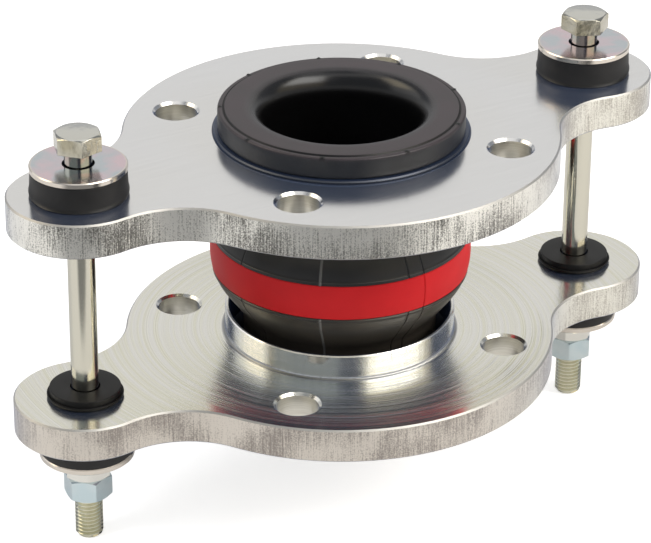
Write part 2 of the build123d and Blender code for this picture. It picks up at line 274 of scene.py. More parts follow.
# The upper halves of the two cards are lit harder, which glossy rubber shows as two highlights
glow_room = add(tree, "ValToRGB", {"Fac": round_share})
glows = [
    (-96, "#000000"), (-84, "#FFFFFF"), (-34, "#FFFFFF"), (-22, "#000000"), (112, "#000000"),
    (126, "#C0B090"), (150, "#C0B090"), (162, "#000000"),
]
set_edges(glow_room, glows)
upper_part = add(tree, "MapRange", {"Value": height_up, "From Min": 0.53, "From Max": 0.62})
not_ceiling = add(tree, "Math", {0: upper_part, 1: ceiling}, operation="SUBTRACT", use_clamp=True)
card_glow = 4.2
glow_strength = add(tree, "Math", {0: not_ceiling, 1: card_glow}, operation="MULTIPLY")
room_light = add(tree, "Background", {"Color": mirrored, "Strength": 1.0})
glow_light = add(tree, "Background", {"Color": glow_room, "Strength": glow_strength})
mirrored_light = add(tree, "AddShader", {0: room_light, 1: glow_light})
lit = add(tree, "MixShader", {0: path.outputs["Is Glossy Ray"], 1: tent_light, 2: mirrored_light})
choice = add(tree, "MixShader", {0: path.outputs["Is Camera Ray"], 1: lit, 2: backdrop})
add(tree, "OutputWorld", {"Surface": choice})
print("the room has", len(cards), "edges between cards and gaps")

# %% Soft boxes
def soft_box(name, place, aim, width, height, watts, colour):
    light = bpy.data.lights.new(name, "AREA")
    light.shape = "RECTANGLE"
    light.size = width
    light.size_y = height
    light.energy = watts
    light.color = linear(colour)[:3]
    lamp = bpy.data.objects.new(name, light)
    lamp.location = place
    lamp.visible_glossy = False
    lamp.rotation_euler = (Vector(aim) - Vector(place)).to_track_quat("-Z", "Y").to_euler()
    bpy.context.scene.collection.objects.link(lamp)
    return lamp


# The lamps shape matt surfaces only. Metal mirrors the cards of the tent instead.
soft_box("left_soft_box", (-1.75, 0.15, 1.35), (0, 0, 0.05), 0.7, 0.9, 14, "#FBFCFF")
soft_box("right_soft_box", (1.25, -1.25, 1.0), (0, 0, 0.05), 0.5, 0.8, 21, "#FFF6EA")

# %% [markdown]
# ## Tools for turned pieces
#
# Nearly everything here was turned or moulded round an axis. A half section is a list of
# (radius, height) points. A third number rounds that corner, as a real mould or cutter does.
# The section is then swept round the axis in steps, closer together where a seam needs them.

# %% Section helpers
def arc_points(start, heading, end, steps):
    """Points on the arc that leaves start along a heading and reaches end."""
    start, chord = Vector(start), Vector(end) - Vector(start)
    along = Vector(heading).normalized()
    side = Vector((-along.y, along.x))
    bend = 2 * atan2(chord.dot(side), chord.dot(along))
    centre = start + side * chord.length_squared / (2 * chord.dot(side))
    points = []
    for step in range(1, steps + 1):
        spoke = start - centre
        spoke.rotate(Matrix.Rotation(bend * step / steps, 2))
        points.append(tuple(centre + spoke))
    return points


def rounded(corners, steps=5):
    """Replace each corner that has a third number by an arc of that radius."""
    points = []
    for index, corner in enumerate(corners):
        if len(corner) == 2:
            points.append(tuple(corner))
            continue
        here = Vector(corner[:2])
        before = (Vector(points[-1]) - here).normalized()
        after = (Vector(corners[index + 1][:2]) - here).normalized()
        half = before.angle(after) / 2
        cut = corner[2] / tan(half)
        start = here + before * cut
        points.append(tuple(start))
        points.extend(arc_points(start, -before, here + after * cut, steps))
    return points


def filled(points, longest):
    """Split long straight stretches, so that they can bend and carry detail."""
    result = [points[0]]
    for start, end in zip(points, points[1:]):
        pieces = max(1, ceil(hypot(end[0] - start[0], end[1] - start[1]) / longest))
        for piece in range(1, pieces + 1):
            share = piece / pieces
            result.append((start[0] + (end[0] - start[0]) * share, start[1] + (end[1] - start[1]) * share))
    return result


def turned(name, section, angles, centre=0.0, shape=None, sharp=35):
    """Sweep a closed section, in mm, round an upright axis at x = centre."""
    points = []
    for angle in angles:
        for radius, height in section:
            if shape:
                radius, height = shape(radius, height, angle)
            turn = radians(angle)
            points.append(((centre + radius * cos(turn)) * MM, radius * sin(turn) * MM, height * MM))
    count, rows = len(section), len(angles)
    faces = []
    for row in range(rows):
        onward = (row + 1) % rows
        for column in range(count):
            beyond = (column + 1) % count
            here, there = row * count, onward * count
            faces.append((here + column, there + column, there + beyond, here + beyond))
    return solid(name, points, faces, sharp)


def solid(name, points, faces, sharp):
    """A smooth-shaded object from points and faces, with crisp edges kept."""
    mesh = bpy.data.meshes.new(name)
    mesh.from_pydata(points, [], faces)
    mesh.validate()
    mesh.shade_smooth()
    mesh.set_sharp_from_angle(angle=radians(sharp))
    piece = bpy.data.objects.new(name, mesh)
    bpy.context.scene.collection.objects.link(piece)
    print(name, "has", len(faces), "faces")
    return piece


def all_round(count):
    return [360 * step / count for step in range(count)]


# %% [markdown]
# ## Rubber bellows
#
# The bellows is vulcanised in a split steel mould. The mould's segments leave nine fine
# flash lines up the arch and nine vent marks on each lip. They are too small for
# the solid, so the section is swept with extra steps at each seam, and the surface is lifted
# or sunk there by a fraction of a millimetre.

# %% Bellows section
neck_radius = 41.6
bore_radius = 32.5
lip_radius = 52.2
lip_thickness = 9.8
arch_root = (neck_radius, 36.4)
shoulder = (51.2, 49.2)
flank = (0.6, 0.8)
band_edge = (55.0, 57.2)
band_crown = 0.9
band_depth = 1.0
inner_shoulder = (44.4, 54.3)
inner_root = (bore_radius, 38.43)
inner_crest = (47.4, half_length)
throat_depth = 11.0          # the mould flares the bore a little more softly than the solid
face_inner_radius = 40.2
face_groove = (49.2, 50.1)   # inner and outer edge of the groove round the sealing face
crest_curve = ((half_length - band_edge[1]) ** 2 + band_crown**2) / (2 * band_crown)
crest_centre = band_edge[0] + band_crown - crest_curve


def crest_radius(height, depth):
    return crest_centre + sqrt((crest_curve - depth) ** 2 - (height - half_length) ** 2)


inside = [inner_crest] + arc_points(inner_crest, (0, -1), inner_shoulder, 8)
inside += rounded([inside[-1], (*inner_root, 7.0), (bore_radius, throat_depth)])[1:]
throat = []
for step in range(1, 9):
    turn = radians(90 * step / 8)
    inward = (face_inner_radius - bore_radius) * cos(turn)
    throat.append((face_inner_radius - inward, throat_depth * (1 - sin(turn))))
lip = rounded([
    throat[-1],
    (face_groove[0], 0.0, 0.2),
    (49.65, 0.9, 0.2),
    (face_groove[1], 0.5, 0.2),
    (lip_radius, 0.5, 1.0),
    (lip_radius, lip_thickness, 1.0),
    (neck_radius, lip_thickness, 3.5),
    (*arch_root, 7.0),
    shoulder,
])[1:]
arch = arc_points(shoulder, flank, band_edge, 30)
recess = [(crest_radius(h, band_depth), h) for h in (57.2, 59.8, 62.4)]
lower_half = filled(inside + throat + lip + arch + recess, 2.2)
upper_half = [(radius, face_to_face - height) for radius, height in reversed(lower_half)]
crest_point = [(crest_radius(half_length, band_depth), half_length)]
wall = [(radius, height + seal_height) for radius, height in lower_half + crest_point + upper_half[:-1]]
print("bellows section has", len(wall), "points")

# %% Bellows seams
seam_angles = [-10 + 40 * step for step in range(9)]
raised_seam = -130           # this one stands proud, the others are fine grooves
joint_angle = -82            # where the band's ends and the outer ply meet
rib_half_width, rib_height = 0.65, 0.35
groove_half_width, groove_depth = 0.42, 0.38
bead_level, bead_half_width, bead_height = 9.3, 0.55, 0.28
vent_half_width, vent_height = 1.1, 0.5
middle_height = seal_height + half_length
flank_end = 53.0             # beyond this height from the middle the lip begins
rim_start = 50.2


def swell(distance, half_width):
    """A soft ridge: 1 in the middle, 0 from half_width on."""
    return (1 + cos(pi * distance / half_width)) / 2 if abs(distance) < half_width else 0.0


def across(radius, angle, line):
    """Distance in mm from a line that runs up the surface at an angle."""
    return radians((angle - line + 180) % 360 - 180) * radius


def moulded(radius, height, angle):
    """Add what the mould leaves: seams, beads beside the band and vent marks on the lips."""
    level = height - middle_height
    off_middle = abs(level)
    outside = radius > neck_radius - 0.1
    if outside and off_middle < flank_end:
        for seam in seam_angles:
            away = across(radius, angle, seam)
            if seam == raised_seam or seam == raised_seam + 360:
                radius += rib_height * swell(away, rib_half_width)
            else:
                radius -= groove_depth * swell(away, groove_half_width)
        radius -= groove_depth * swell(across(radius, angle, joint_angle), groove_half_width)
        if off_middle > 8.2:
            radius += bead_height * swell(off_middle - bead_level, bead_half_width)
    if radius > rim_start and off_middle > half_length - 0.9:
        for seam in seam_angles:
            lift = vent_height * swell(across(radius, angle, seam), vent_half_width)
            height += lift if level > 0 else -lift
        height = min(max(height, seal_height), seal_height + face_to_face)
    return radius, height


sweep = set(all_round(150))
for seam in [*seam_angles, joint_angle]:
    for offset in (-1.3, -0.9, -0.55, -0.25, 0, 0.25, 0.55, 0.9, 1.3):
        sweep.add((seam + offset) % 360)
bellows = turned("moulded_bellows", wall, sorted(sweep), shape=moulded)

# %% [markdown]
# ## Coloured band
#
# A band of coloured rubber lies in a shallow recess round the crest. It is laid on before
# vulcanising, so its edges are soft and nearly flush, with a thin dark line at each side.

# %% Band
band_low, band_high = 57.25, face_to_face - 57.25
band_rows = [band_low + (band_high - band_low) * step / 10 for step in range(11)]
band_outer = [(crest_radius(height, 0.0), height) for height in band_rows]
band_outer[0] = (band_outer[0][0] - 0.3, band_low)
band_outer[-1] = (band_outer[-1][0] - 0.3, band_high)
band_outer.insert(1, (crest_radius(band_low + 0.35, 0.0), band_low + 0.35))
band_outer.insert(-1, (crest_radius(band_high - 0.35, 0.0), band_high - 0.35))
band_inner = [(crest_radius(height, 0.95), height) for height in reversed(band_rows)]
band_section = [(radius, height + seal_height) for radius, height in band_outer + band_inner]


def joined(radius, height, angle):
    """The band's two ends meet in a fine groove."""
    return radius - 0.4 * swell(across(radius, angle, joint_angle), 0.45), height


band_sweep = set(all_round(180))
for offset in (-0.6, -0.45, -0.2, 0.2, 0.45, 0.6):
    band_sweep.add((joint_angle + offset) % 360)
band = turned("coloured_band", band_section, sorted(band_sweep), shape=joined)

# %% [markdown]
# ## Rubber buffers and grommets
#
# The discs at each end of a tie bolt are moulded rubber. They are pressed between washer and
# flange, so their sides swell a little. A grommet on the inner face
# keeps each bolt off the steel. Corners are rounded by the mould.

# %% Buffers
bore = 6.55
buffer_radius = 20.0


def buffer_section(base, direction, height):
    """Half section of a disc that stands on a flange's face."""
    corners = [
        (bore, height),
        (bore, 0.0),
        (buffer_radius - 0.1, 0.0, 0.5),
        (buffer_radius + 0.25, height * 0.08),
        (buffer_radius + 0.4, height * 0.16),
        (buffer_radius + 0.35, height * 0.24),
        (buffer_radius + 0.05, height * 0.31),
        (buffer_radius - 0.1, height * 0.6),
        (buffer_radius - 0.3, height, 0.5),
        (buffer_radius - 3.0, height),
    ]
    return [(radius, base + direction * rise) for radius, rise in rounded(corners)]


buffers = {}
for side, centre in (("left", -tie_bolt_offset), ("right", tie_bolt_offset)):
    for end, base, direction, height in (("upper", upper_outer, 1, 11.0), ("lower", lower_outer, -1, 10.0)):
        section = buffer_section(base, direction, height)
        buffers[f"{end}_buffer_{side}"] = turned(
            f"rubber_{end}_buffer_{side}", section, all_round(96), centre,
        )
print(len(buffers), "buffers")

# %% Grommets
grommet_corners = [
    (bore, -14.5),
    (10.5, -14.5, 0.4),
    (10.5, 0.0),
    (15.2, 0.0, 0.2),
    (16.1, 1.5, 0.2),
    (15.9, 2.0, 0.2),
    (14.9, 1.6, 0.1),
    (15.0, 4.5, 0.45),
    (6.2, 4.5, 0.3),
    (6.2, 3.0),
    (bore, 2.5),
]
grommets = {}
for side, centre in (("left", -tie_bolt_offset), ("right", tie_bolt_offset)):
    for end, base, direction in (("lower", lower_inner, 1), ("upper", upper_inner, -1)):
        section = [(radius, base + direction * rise) for radius, rise in rounded(grommet_corners)]
        grommets[f"{end}_grommet_{side}"] = turned(
            f"rubber_{end}_grommet_{side}", section, all_round(96), centre,
        )
print(len(grommets), "grommets")

# %% [markdown]
# ## Tie bolts
#
# A tie bolt is a hot-forged M12 hexagon bolt with a rolled thread. The thread is a true helix
# of 1.75 mm pitch, so every row of points climbs one pitch in a turn. The head's corners are
# cut by a cone, which leaves the curved chamfer lines that every bolt head has.

# %% Bolt parts
pitch = 1.75
thread_crest = 5.95
thread_root = 4.95
shank_radius = 5.75
thread_tip = -59.5
thread_top = -14.5
head_underside = 120.5
head_height = 7.5
hex_flat = 9.0
hex_face = 8.6
hex_corner = hex_flat / cos(radians(30))
washer_face = 8.3
washer_face_height = 0.45
edge_break = 0.15            # small round on the head's edges
thread_form = ((0.0, 0.06), (0.12, 0.0), (0.44, 1.0), (0.56, 1.0), (0.88, 0.0))


def threaded_rod(centre):
    """Helical rows from the tip up into the shank, then plain rows up to the head."""
    steps = 48
    points, rows = [], 0
    turns = ceil((thread_top - thread_tip) / pitch) + 1
    for turn in range(-1, turns):
        for phase, rise in thread_form:
            for step in range(steps):
                height = thread_tip + pitch * (turn + phase + step / steps)
                depth = (thread_crest - thread_root) * (1 - rise)
                fade = min(1.0, max(0.0, (thread_top - height) / pitch))
                radius = thread_crest - depth * fade
                if height >= thread_top:
                    radius = shank_radius
                height = min(max(height, thread_tip), thread_top + 0.2)
                radius = min(radius, thread_crest - 1.2 + (height - thread_tip))
                angle = 2 * pi * step / steps
                points.append((centre + radius * cos(angle), radius * sin(angle), height))
            rows += 1
    for height in (thread_top + 1.0, 20.0, 50.0, 80.0, head_underside):
        for step in range(steps):
            angle = 2 * pi * step / steps
            points.append((centre + shank_radius * cos(angle), shank_radius * sin(angle), height))
        rows += 1
    faces = []
    for row in range(rows - 1):
        for step in range(steps):
            beyond = (step + 1) % steps
            lift = steps * len(thread_form) if beyond == 0 and row < rows - 6 else 0
            here, there = row * steps + step, row * steps + beyond
            top_here, top_there = here + steps, there + steps
            if lift and top_there + lift < rows * steps:
                there, top_there = there + lift, top_there + lift
            faces.append((here, there, top_there, top_here))
    tip = len(points)
    points.append((centre, 0.0, thread_tip))
    faces += [((step + 1) % steps, step, tip) for step in range(steps)]
    return points, faces


def hexagon_head(centre, turn):
    """Rings from the washer face to the middle of the top."""
    angles = [turn + 7.5 * step for step in range(48)]
    points = []
    for angle in angles:
        reach = hex_flat / cos(radians((angle - turn) % 60 - 30))
        drop = (reach - hex_face) / (hex_corner - hex_face)
        top = head_underside + head_height
        rings = (
            (0.0, head_underside - washer_face_height),
            (washer_face - edge_break, head_underside - washer_face_height),
            (washer_face, head_underside - 0.35),
            (washer_face, head_underside),
            (reach - edge_break, head_underside),
            (reach, head_underside + edge_break),
            (reach, top - drop - 0.12),
            (reach - 0.12, top - drop),
            (hex_face, top - 0.04),
            (hex_face - edge_break, top),
            (0.0, top),
        )
        for radius, height in rings:
            points.append((centre + radius * cos(radians(angle)), radius * sin(radians(angle)), height))
    count, rows = len(rings), len(angles)
    faces = []
    for row in range(rows):
        onward = (row + 1) % rows
        for column in range(count - 1):
            corner = row * count + column
            opposite = onward * count + column
            faces.append((corner, opposite, opposite + 1, corner + 1))
    return points, faces


# %% Bolts
tie_bolts = {}
for side, centre, head_turn in (("left", -tie_bolt_offset, 12.2), ("right", tie_bolt_offset, 35.0)):
    points, faces = threaded_rod(centre)
    head_points, head_faces = hexagon_head(centre, head_turn)
    faces += [tuple(index + len(points) for index in face) for face in head_faces]
    points = [tuple(value * MM for value in point) for point in points + head_points]
    tie_bolts[f"tie_bolt_{side}"] = solid(f"threaded_tie_bolt_{side}", points, faces, 40)

# %% [markdown]
# ## Zinc-plated flanges
#
# The flanges are cut from 15 mm steel plate, turned where the rubber seats, then bright zinc
# plated. The wide faces are smooth enough to mirror what stands on them. The thermally cut
# sides keep fine upright drag lines. The turned faces keep the tool's rings. One material
# finds each of these places by the object's own coordinates.

# %% Flange finish
def flange_finish():
    """Bright zinc over rolled, cut and turned steel."""
    finish, tree, shader = start_finish(
        "zinc_plated_rolled_steel", Metallic=1.0, Sheen_Weight=0.58, Sheen_Roughness=0.45,
    )
    # The passivation scatters a little blue, which shows in dark reflections
    shader.inputs["Sheen Tint"].default_value = linear("#7690C4")
    coordinates = add(tree, "TexCoord")
    place = coordinates.outputs["Object"]
    normal = add(tree, "SeparateXYZ", {0: coordinates.outputs["Normal"]}).outputs["Z"]
    upright = add(tree, "Math", {0: normal}, operation="ABSOLUTE")
    side = add(tree, "MapRange", {"Value": upright, "From Min": 0.5, "From Max": 0.3})
    axes = add(tree, "SeparateXYZ", {0: place})
    flat = add(tree, "CombineXYZ", {"X": axes.outputs["X"], "Y": axes.outputs["Y"]})
    radius = add(tree, "VectorMath", {0: flat}, operation="LENGTH").outputs["Value"]
    # The four bolt holes look alike, so one quarter stands for all of them
    hole_place = bolt_circle_radius * cos(radians(45)) * MM
    quarter = add(tree, "VectorMath", {0: flat}, operation="ABSOLUTE")
    from_hole = add(tree, "VectorMath", {0: quarter, 1: (hole_place, hole_place, 0)}, operation="DISTANCE")
    hole = add(
        tree, "MapRange", {"Value": from_hole.outputs["Value"], "From Min": 0.0112, "From Max": 0.0108},
    )
    lathe_part = add(tree, "MapRange", {"Value": radius, "From Min": 0.0570, "From Max": 0.0565})
    machined = add(tree, "Math", {0: hole, 1: lathe_part}, operation="MAXIMUM")
    as_cut = add(tree, "Math", {0: side, 1: machined}, operation="SUBTRACT", use_clamp=True)
    # Inner faces look towards the middle plane
    level = add(tree, "Math", {0: axes.outputs["Z"], 1: middle_height * MM}, operation="SUBTRACT")
    toward_middle = add(tree, "Math", {0: level, 1: normal}, operation="MULTIPLY")
    inner = add(tree, "MapRange", {"Value": toward_middle, "From Min": -0.02, "From Max": -0.035})
    disc = add(tree, "MapRange", {"Value": radius, "From Min": 0.0888, "From Max": 0.0884})
    faced = add(tree, "Math", {0: inner, 1: disc}, operation="MULTIPLY")

    # Rolled faces: streaks 0.5 mm wide and some 30 mm long, and soft clouds in the plating
    long_grain = add(
        tree, "Mapping", {"Vector": place, "Rotation": (0, 0, radians(-20)), "Scale": (30, 1800, 30)},
    )
    streaks = add(tree, "TexNoise", {"Vector": long_grain, "Scale": 1.0, "Detail": 3.0})
    face_colour = add(
        tree, "Mix", {"Factor": streaks, "A": linear("#DFDDDA"), "B": linear("#F1F0ED")},
        data_type="RGBA",
    )
    face_rough = add(tree, "MapRange", {"Value": streaks, "To Min": 0.12, "To Max": 0.23})
    # Faced discs: tool rings 0.5 mm apart, and straw and pink interference colours
    ring_place = add(tree, "Math", {0: radius, 1: 2000.0}, operation="MULTIPLY")
    rings = add(tree, "TexNoise", {"W": ring_place, "Scale": 1.0, "Detail": 2.0}, noise_dimensions="1D")
    wide_clouds = add(tree, "TexNoise", {"Vector": place, "Scale": 14.0, "Detail": 5.0})
    wide_ring_place = add(tree, "Math", {0: radius, 1: 420.0}, operation="MULTIPLY")
    wide_rings = add(
        tree, "TexNoise", {"W": wide_ring_place, "Scale": 1.0, "Detail": 2.0}, noise_dimensions="1D",
    )
    tint = add(tree, "Mix", {"Factor": 0.55, "A": wide_clouds, "B": wide_rings})
    tint_share = add(tree, "MapRange", {"Value": tint, "From Min": 0.42, "From Max": 0.6})
    straw = add(
        tree, "Mix", {"Factor": tint_share, "A": linear("#D6D2B8"), "B": linear("#DFDCD8")},
        data_type="RGBA",
    )
    faced_colour = add(tree, "Mix", {"Factor": rings, "A": straw, "B": linear("#F5F4EA")}, data_type="RGBA")
    faced_rough = add(tree, "MapRange", {"Value": rings, "To Min": 0.10, "To Max": 0.26})
    wide_colour = add(tree, "Mix", {"Factor": inner, "A": face_colour, "B": faced_colour}, data_type="RGBA")
    wide_rough = add(tree, "Mix", {"Factor": inner, "A": face_rough, "B": faced_rough})

    # Cut sides: upright drag lines 0.5 mm apart, specks of 0.6 mm, and darker stretches
    drag = add(tree, "Mapping", {"Vector": place, "Scale": (1900, 1900, 75)})
    drag_lines = add(tree, "TexNoise", {"Vector": drag, "Scale": 1.0, "Detail": 3.0, "Roughness": 0.6})
    specks = add(tree, "TexNoise", {"Vector": place, "Scale": 1700.0, "Detail": 2.0})
    stretches = add(tree, "TexNoise", {"Vector": place, "Scale": 38.0, "Detail": 2.0})
    cut_grain = add(tree, "Mix", {"Factor": 0.5, "A": drag_lines, "B": specks})
    stretch_share = add(
        tree, "MapRange",
        {"Value": stretches, "From Min": 0.35, "From Max": 0.68, "To Min": 0.10, "To Max": -0.11},
    )
    cut_level = add(tree, "Math", {0: cut_grain, 1: stretch_share}, operation="ADD")
    cut_share = add(tree, "MapRange", {"Value": cut_level, "From Min": 0.36, "From Max": 0.56})
    # The lower flange was cut finer. Both flanges' cut sides are painted lighter towards the
    # right and darker towards the left, as painted light and shade
    lower = add(tree, "MapRange", {"Value": level, "From Min": 0.01, "From Max": -0.01})
    lit_towards_right = add(tree, "MapRange", {"Value": axes.outputs["X"], "From Min": 0.01, "From Max": 0.08})
    fine_cut_and_painted_light = add(tree, "Math", {0: lit_towards_right, 1: lower}, operation="MAXIMUM")
    coarse_fleck = add(
        tree, "Mix", {"Factor": fine_cut_and_painted_light, "A": linear("#787670"), "B": linear("#ABA39C")},
        data_type="RGBA",
    )
    fleck = add(
        tree, "Mix", {"Factor": lit_towards_right, "A": coarse_fleck, "B": linear("#C3BDB3")}, data_type="RGBA",
    )
    dull_cut = add(
        tree, "Mix", {"Factor": lower, "A": linear("#F9F7F0"), "B": linear("#DFD8CE")},
        data_type="RGBA",
    )
    bright_cut = add(
        tree, "Mix", {"Factor": lit_towards_right, "A": dull_cut, "B": linear("#F6F4EA")}, data_type="RGBA",
    )
    cut_colour = add(tree, "Mix", {"Factor": cut_share, "A": fleck, "B": bright_cut}, data_type="RGBA")
    cut_rough = add(tree, "MapRange", {"Value": cut_share, "To Min": 0.55, "To Max": 0.32})

    # Drilled and turned walls: rings 0.4 mm apart up the wall
    wall_rings_place = add(tree, "Mapping", {"Vector": place, "Scale": (60, 60, 2400)})
    wall_rings = add(tree, "TexNoise", {"Vector": wall_rings_place, "Scale": 1.0, "Detail": 2.0})
    drilled_colour = add(
        tree, "Mix", {"Factor": wall_rings, "A": linear("#C4C0B2"), "B": linear("#F1EFE7")},
        data_type="RGBA",
    )
    # The collar is polished bright, a little less so in the fillet at its foot
    foot = add(tree, "MapRange", {"Value": radius, "From Min": 0.0496, "From Max": 0.0500})
    turned_rough = add(tree, "MapRange", {"Value": foot, "To Min": 0.12, "To Max": 0.42})
    machined_colour = add(
        tree, "Mix", {"Factor": hole, "A": linear("#F6F7F7"), "B": drilled_colour}, data_type="RGBA",
    )
    machined_rough = add(tree, "Mix", {"Factor": hole, "A": turned_rough, "B": 0.30})
    side_colour = add(
        tree, "Mix", {"Factor": as_cut, "A": machined_colour, "B": cut_colour}, data_type="RGBA",
    )
    side_rough = add(tree, "Mix", {"Factor": as_cut, "A": machined_rough, "B": cut_rough})

    colour = add(tree, "Mix", {"Factor": side, "A": wide_colour, "B": side_colour}, data_type="RGBA")
    # The collar's pocket and the ring that the lip sits on are painted dark and made rougher,
    # a painted shade in these recesses under the rubber
    pocket = add(tree, "MapRange", {"Value": radius, "From Min": 0.0481, "From Max": 0.0478})
    ring_outside = add(tree, "MapRange", {"Value": radius, "From Min": 0.0547, "From Max": 0.0545})
    outward = add(tree, "Math", {0: level}, operation="ABSOLUTE")
    outer_end = add(tree, "MapRange", {"Value": outward, "From Min": 0.0530, "From Max": 0.0535})
    ring = add(tree, "Math", {0: ring_outside, 1: outer_end}, operation="MULTIPLY")
    # The fillet at the collar's foot is a little darker
    foot_start = add(tree, "MapRange", {"Value": radius, "From Min": 0.0495, "From Max": 0.0498})
    foot_end = add(tree, "MapRange", {"Value": radius, "From Min": 0.0513, "From Max": 0.0509})
    fillet = add(tree, "Math", {0: foot_start, 1: foot_end}, operation="MULTIPLY")
    darker_fillet = add(tree, "Math", {0: fillet, 1: 0.55}, operation="MULTIPLY")
    painted_recess_shade = add(tree, "Math", {0: pocket, 1: ring}, operation="MAXIMUM")
    darkened_share = add(tree, "Math", {0: painted_recess_shade, 1: darker_fillet}, operation="MAXIMUM")
    # The rounded edges of the plate were broken by hand and are not polished, so they are rougher.
    # Their colour is a darker grey, a painted shade that dims their highlight
    broken = add(tree, "MapRange", {"Value": upright, "From Min": 0.97, "From Max": 0.90})
    on_plate = add(tree, "Math", {0: broken, 1: machined}, operation="SUBTRACT", use_clamp=True)
    on_edge = add(tree, "Math", {0: on_plate, 1: side}, operation="SUBTRACT", use_clamp=True)
    edge_dimmed_colour = add(tree, "Mix", {"Factor": on_edge, "A": colour, "B": linear("#C4C1BB")}, data_type="RGBA")
    # Painted shade in the pocket and round the seat ring, and a darker fillet
    shown = add(tree, "Mix", {"Factor": darkened_share, "A": edge_dimmed_colour, "B": linear("#50535A")}, data_type="RGBA")
    join(tree, shown, shader, "Base Color")
    edge_rough = add(tree, "Math", {0: on_plate, 1: 0.48}, operation="MULTIPLY")
    face_or_edge = add(tree, "Math", {0: wide_rough, 1: edge_rough}, operation="MAXIMUM")
    clean_rough = add(tree, "Mix", {"Factor": side, "A": face_or_edge, "B": side_rough})
    rough = add(tree, "Mix", {"Factor": darkened_share, "A": clean_rough, "B": 0.38})
    join(tree, rough, shader, "Roughness")
    wide_relief = add(tree, "Mix", {"Factor": inner, "A": streaks, "B": rings})
    side_relief = add(tree, "Mix", {"Factor": as_cut, "A": wall_rings, "B": cut_grain})
    relief = add(tree, "Mix", {"Factor": side, "A": wide_relief, "B": side_relief})
    wide_depth = add(tree, "MapRange", {"Value": faced, "To Min": 0.000006, "To Max": 0.000140})
    side_depth = add(tree, "MapRange", {"Value": as_cut, "To Min": 0.000006, "To Max": 0.00014})
    depth = add(tree, "Mix", {"Factor": side, "A": wide_depth, "B": side_depth})
    bump = add(tree, "Bump", {"Strength": 0.6, "Distance": depth, "Height": relief})
    join(tree, bump, shader, "Normal")
    return finish


flange_steel = flange_finish()
for name in ("lower_flange", "upper_flange"):
    nodes[name].material_slots[0].material = flange_steel
print("flanges dressed")

# %% [markdown]
# ## Electroplated fasteners
#
# Bolts, nuts and washers come from a barrel-plating bath. The clear passivation over the zinc is
# so thin that it shows interference colours, from pale blue to straw and pink, which change
# every few millimetres.

# %% Fastener finish
def plated_finish(name, pale, tint, rim, roughness, rim_start, rim_end, rim_axis="radius", dents=0.0):
    """Passivated zinc with soft interference colours, and another shade past a border.

    Forged faces have shallow dents, given as a depth in metres, about 3 mm apart.
    """
    finish, tree, shader = start_finish(name, Metallic=1.0, Sheen_Weight=0.15, Sheen_Roughness=0.4)
    shader.inputs["Sheen Tint"].default_value = linear("#7F97C8")
    place = add(tree, "TexCoord").outputs["Object"]
    axes = add(tree, "SeparateXYZ", {0: place})
    film = add(tree, "TexNoise", {"Vector": place, "Scale": 62.0, "Detail": 2.0, "Distortion": 0.4})
    film_share = add(tree, "MapRange", {"Value": film, "From Min": 0.42, "From Max": 0.60})
    shade = add(tree, "Mix", {"Factor": film_share, "A": linear(pale), "B": linear(tint)}, data_type="RGBA")
    # Both tie bolts look alike, so their distance from the nearer bolt's axis is measured
    either = add(tree, "Math", {0: axes.outputs["X"]}, operation="ABSOLUTE")
    beside = add(tree, "Math", {0: either, 1: tie_bolt_offset * MM}, operation="SUBTRACT")
    flat = add(tree, "CombineXYZ", {"X": beside, "Y": axes.outputs["Y"]})
    radius = add(tree, "VectorMath", {0: flat}, operation="LENGTH").outputs["Value"]
    measured = radius if rim_axis == "radius" else axes.outputs["Z"]
    past = add(tree, "MapRange", {"Value": measured, "From Min": rim_start, "From Max": rim_end})
    colour = add(tree, "Mix", {"Factor": past, "A": shade, "B": linear(rim)}, data_type="RGBA")
    join(tree, colour, shader, "Base Color")
    grain = add(tree, "TexNoise", {"Vector": place, "Scale": 1700.0, "Detail": 2.0})
    rough = add(tree, "MapRange", {"Value": grain, "To Min": roughness - 0.06, "To Max": roughness + 0.08})
    join(tree, rough, shader, "Roughness")
    skin = add(tree, "Bump", {"Strength": 0.3, "Distance": 0.00010 if dents else 0.00003, "Height": grain})
    if dents:
        hollows = add(tree, "TexNoise", {"Vector": place, "Scale": 280.0, "Detail": 1.0})
        skin = add(tree, "Bump", {"Strength": 1.0, "Distance": dents, "Height": hollows, "Normal": skin})
    join(tree, skin, shader, "Normal")
    return finish


washer_zinc = plated_finish(
    "zinc_plated_washer_steel", "#C2C8CD", "#D9C5CB", "#E0D8CE", 0.15, 0.0188, 0.0196,
)
nut_zinc = plated_finish(
    "zinc_plated_nut_steel", "#CFE0E6", "#DAE6EA", "#EBEAE4", 0.20, -0.0302, -0.0298, "height",
)
head_zinc = plated_finish(
    "zinc_plated_forged_head_steel", "#CECBBE", "#B2AC97", "#D2D1CA", 0.14, 0.1275, 0.1279, "height",
    0.00022,
)
shank_zinc = plated_finish(
    "zinc_plated_rolled_thread_steel", "#E4E2D0", "#D6D4BE", "#D9D6C8", 0.12, -0.0150, -0.0140,
    "height",
)
for name, node in nodes.items():
    if "washer" in name:
        node.material_slots[0].material = washer_zinc
    if "nut" in name:
        node.material_slots[0].material = nut_zinc
for piece in tie_bolts.values():
    piece.data.materials.append(shank_zinc)
    piece.data.materials.append(head_zinc)
    for face in piece.data.polygons:
        face.material_index = int(face.center.z > (head_underside - 0.6) * MM)
print("fasteners dressed")

# %% [markdown]
# ## Moulded rubber
#
# EPDM and chloroprene rubber come out of a polished mould nearly black, with a soft sheen.
# Carbon black makes it dark, and a thin waxy bloom on older faces turns it brownish grey.

